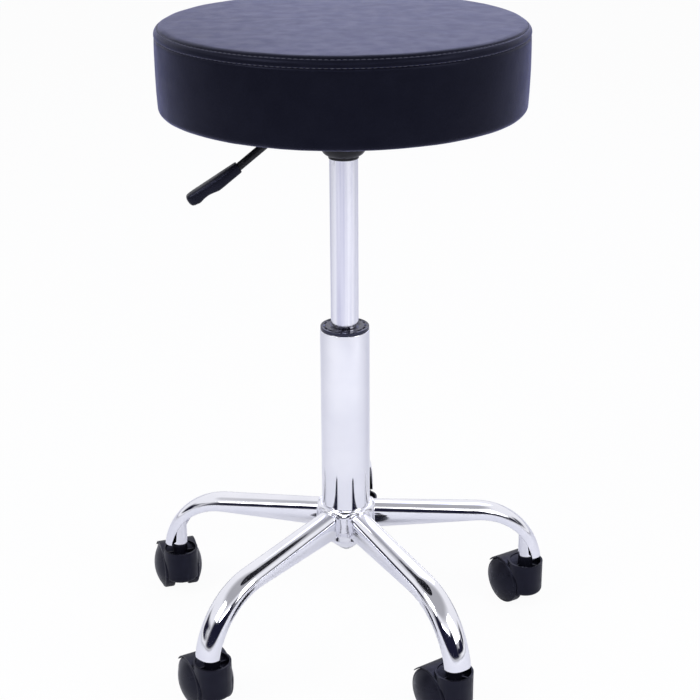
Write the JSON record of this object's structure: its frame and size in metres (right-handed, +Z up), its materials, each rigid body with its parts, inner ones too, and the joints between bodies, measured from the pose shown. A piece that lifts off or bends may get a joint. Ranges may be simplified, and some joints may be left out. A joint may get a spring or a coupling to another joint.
{
  "type": "dentist stool",
  "caption": "Round upholstered stool with a gas lift, a release lever under the seat, a chromed star base of bent legs and hooded swivel casters.",
  "frame": {"origin": "on the floor under the axis of the gas lift", "axes": "+Z up along the lift; +Y along leg 1; the other legs follow anticlockwise from above"},
  "size_m": [0.4386, 0.4306, 0.6538],
  "materials": {
    "chrome": "polished",
    "zinc_steel": "satin",
    "satin_steel": "satin",
    "black_plastic": "satin",
    "wheel_plastic": "satin",
    "black_steel": "satin",
    "lever_steel": "satin",
    "inner_plastic": "matte",
    "rubber": "matte",
    "leatherette": "satin",
    "foam": "matte",
    "dust_cloth": "matte",
    "plywood": "matte"
  },
  "bodies": {
    "base": {"hub_sleeve": "chrome", "leg_1": "chrome", "leg_2": "chrome", "leg_3": "chrome", "leg_4": "chrome", "leg_5": "chrome", "caster_sockets": "zinc_steel", "caster_stem_1": "chrome", "caster_stem_2": "chrome", "caster_stem_3": "chrome", "caster_stem_4": "chrome", "caster_stem_5": "chrome", "grip_rings": "zinc_steel", "column_tube": "chrome", "guide_bush": "black_plastic"},
    "gas_rod": {"piston_rod": "zinc_steel", "piston": "inner_plastic", "thrust_bearing": "zinc_steel", "rubber_buffer": "rubber", "rod_clip": "zinc_steel"},
    "seat": {"pressure_tube": "satin_steel", "rod_gland": "inner_plastic", "valve_body": "satin_steel", "taper_socket": "black_steel", "mounting_plate": "black_steel", "lever_pivot": "zinc_steel", "plate_bolts": "zinc_steel", "tee_nuts": "zinc_steel", "seat_board": "plywood", "seat_foam": "foam", "seat_cover_band": "leatherette", "seat_cover_top": "leatherette", "dust_cover": "dust_cloth"},
    "valve": {"valve_pin": "satin_steel"},
    "lever": {"lever_rod": "lever_steel", "lever_grip": "black_plastic"},
    "caster_1": {"caster_housing_1": "black_plastic", "caster_axle_1": "zinc_steel"},
    "left_wheel_1": {"wheel_left_1": "wheel_plastic"},
    "right_wheel_1": {"wheel_right_1": "wheel_plastic"},
    "caster_2": {"caster_housing_2": "black_plastic", "caster_axle_2": "zinc_steel"},
    "left_wheel_2": {"wheel_left_2": "wheel_plastic"},
    "right_wheel_2": {"wheel_right_2": "wheel_plastic"},
    "caster_3": {"caster_housing_3": "black_plastic", "caster_axle_3": "zinc_steel"},
    "left_wheel_3": {"wheel_left_3": "wheel_plastic"},
    "right_wheel_3": {"wheel_right_3": "wheel_plastic"},
    "caster_4": {"caster_housing_4": "black_plastic", "caster_axle_4": "zinc_steel"},
    "left_wheel_4": {"wheel_left_4": "wheel_plastic"},
    "right_wheel_4": {"wheel_right_4": "wheel_plastic"},
    "caster_5": {"caster_housing_5": "black_plastic", "caster_axle_5": "zinc_steel"},
    "left_wheel_5": {"wheel_left_5": "wheel_plastic"},
    "right_wheel_5": {"wheel_right_5": "wheel_plastic"}
  },
  "joints": [
    {"name": "seat_swivel", "type": "hinge", "parent": "base", "child": "gas_rod", "pos_m": [0, 0, 0.1053], "axis": [0, 0, 1], "continuous": true},
    {"name": "seat_lift", "type": "slide", "parent": "gas_rod", "child": "seat", "axis": [0, 0, 1], "range_m": [-0.15, 0]},
    {"name": "lever_hinge", "type": "hinge", "parent": "seat", "child": "lever", "pos_m": [-0.03253, -0.00988, 0.5616], "axis": [-0.2907, 0.9568, 0], "range_deg": [0, 5], "stiffness_Nm_per_rad": 8, "springref_deg": -8.59},
    {"name": "valve_pin_slide", "type": "slide", "parent": "seat", "child": "valve", "axis": [0, 0, 1], "range_m": [-0.003, 0]},
    {"name": "caster_swivel_1", "type": "hinge", "parent": "base", "child": "caster_1", "pos_m": [0, 0.2025, 0.061], "axis": [0, 0, 1], "continuous": true},
    {"name": "left_wheel_spin_1", "type": "hinge", "parent": "caster_1", "child": "left_wheel_1", "pos_m": [-0.01004, 0.21683, 0.0254], "axis": [0.8192, 0.5736, 0], "continuous": true},
    {"name": "right_wheel_spin_1", "type": "hinge", "parent": "caster_1", "child": "right_wheel_1", "pos_m": [-0.01004, 0.21683, 0.0254], "axis": [0.8192, 0.5736, 0], "continuous": true},
    {"name": "caster_swivel_2", "type": "hinge", "parent": "base", "child": "caster_2", "pos_m": [-0.19259, 0.06258, 0.061], "axis": [0, 0, 1], "continuous": true},
    {"name": "left_wheel_spin_2", "type": "hinge", "parent": "caster_2", "child": "left_wheel_2", "pos_m": [-0.19943, 0.07869, 0.0254], "axis": [0.9205, 0.3907, 0], "continuous": true},
    {"name": "right_wheel_spin_2", "type": "hinge", "parent": "caster_2", "child": "right_wheel_2", "pos_m": [-0.19943, 0.07869, 0.0254], "axis": [0.9205, 0.3907, 0], "continuous": true},
    {"name": "caster_swivel_3", "type": "hinge", "parent": "base", "child": "caster_3", "pos_m": [-0.11903, -0.16383, 0.061], "axis": [0, 0, 1], "continuous": true},
    {"name": "left_wheel_spin_3", "type": "hinge", "parent": "caster_3", "child": "left_wheel_3", "pos_m": [-0.12896, -0.14942, 0.0254], "axis": [0.8231, 0.5678, 0], "continuous": true},
    {"name": "right_wheel_spin_3", "type": "hinge", "parent": "caster_3", "child": "right_wheel_3", "pos_m": [-0.12896, -0.14942, 0.0254], "axis": [0.8231, 0.5678, 0], "continuous": true},
    {"name": "caster_swivel_4", "type": "hinge", "parent": "base", "child": "caster_4", "pos_m": [0.11903, -0.16383, 0.061], "axis": [0, 0, 1], "continuous": true},
    {"name": "left_wheel_spin_4", "type": "hinge", "parent": "caster_4", "child": "left_wheel_4", "pos_m": [0.10787, -0.15034, 0.0254], "axis": [0.7705, 0.6374, 0], "continuous": true},
    {"name": "right_wheel_spin_4", "type": "hinge", "parent": "caster_4", "child": "right_wheel_4", "pos_m": [0.10787, -0.15034, 0.0254], "axis": [0.7705, 0.6374, 0], "continuous": true},
    {"name": "caster_swivel_5", "type": "hinge", "parent": "base", "child": "caster_5", "pos_m": [0.19259, 0.06258, 0.061], "axis": [0, 0, 1], "continuous": true},
    {"name": "left_wheel_spin_5", "type": "hinge", "parent": "caster_5", "child": "left_wheel_5", "pos_m": [0.18216, 0.07662, 0.0254], "axis": [0.8028, 0.5962, 0], "continuous": true},
    {"name": "right_wheel_spin_5", "type": "hinge", "parent": "caster_5", "child": "right_wheel_5", "pos_m": [0.18216, 0.07662, 0.0254], "axis": [0.8028, 0.5962, 0], "continuous": true}
  ],
  "couplings": [
    {"joint": "valve_pin_slide", "follows": "lever_hinge", "m_per_rad": -0.034}
  ]
}
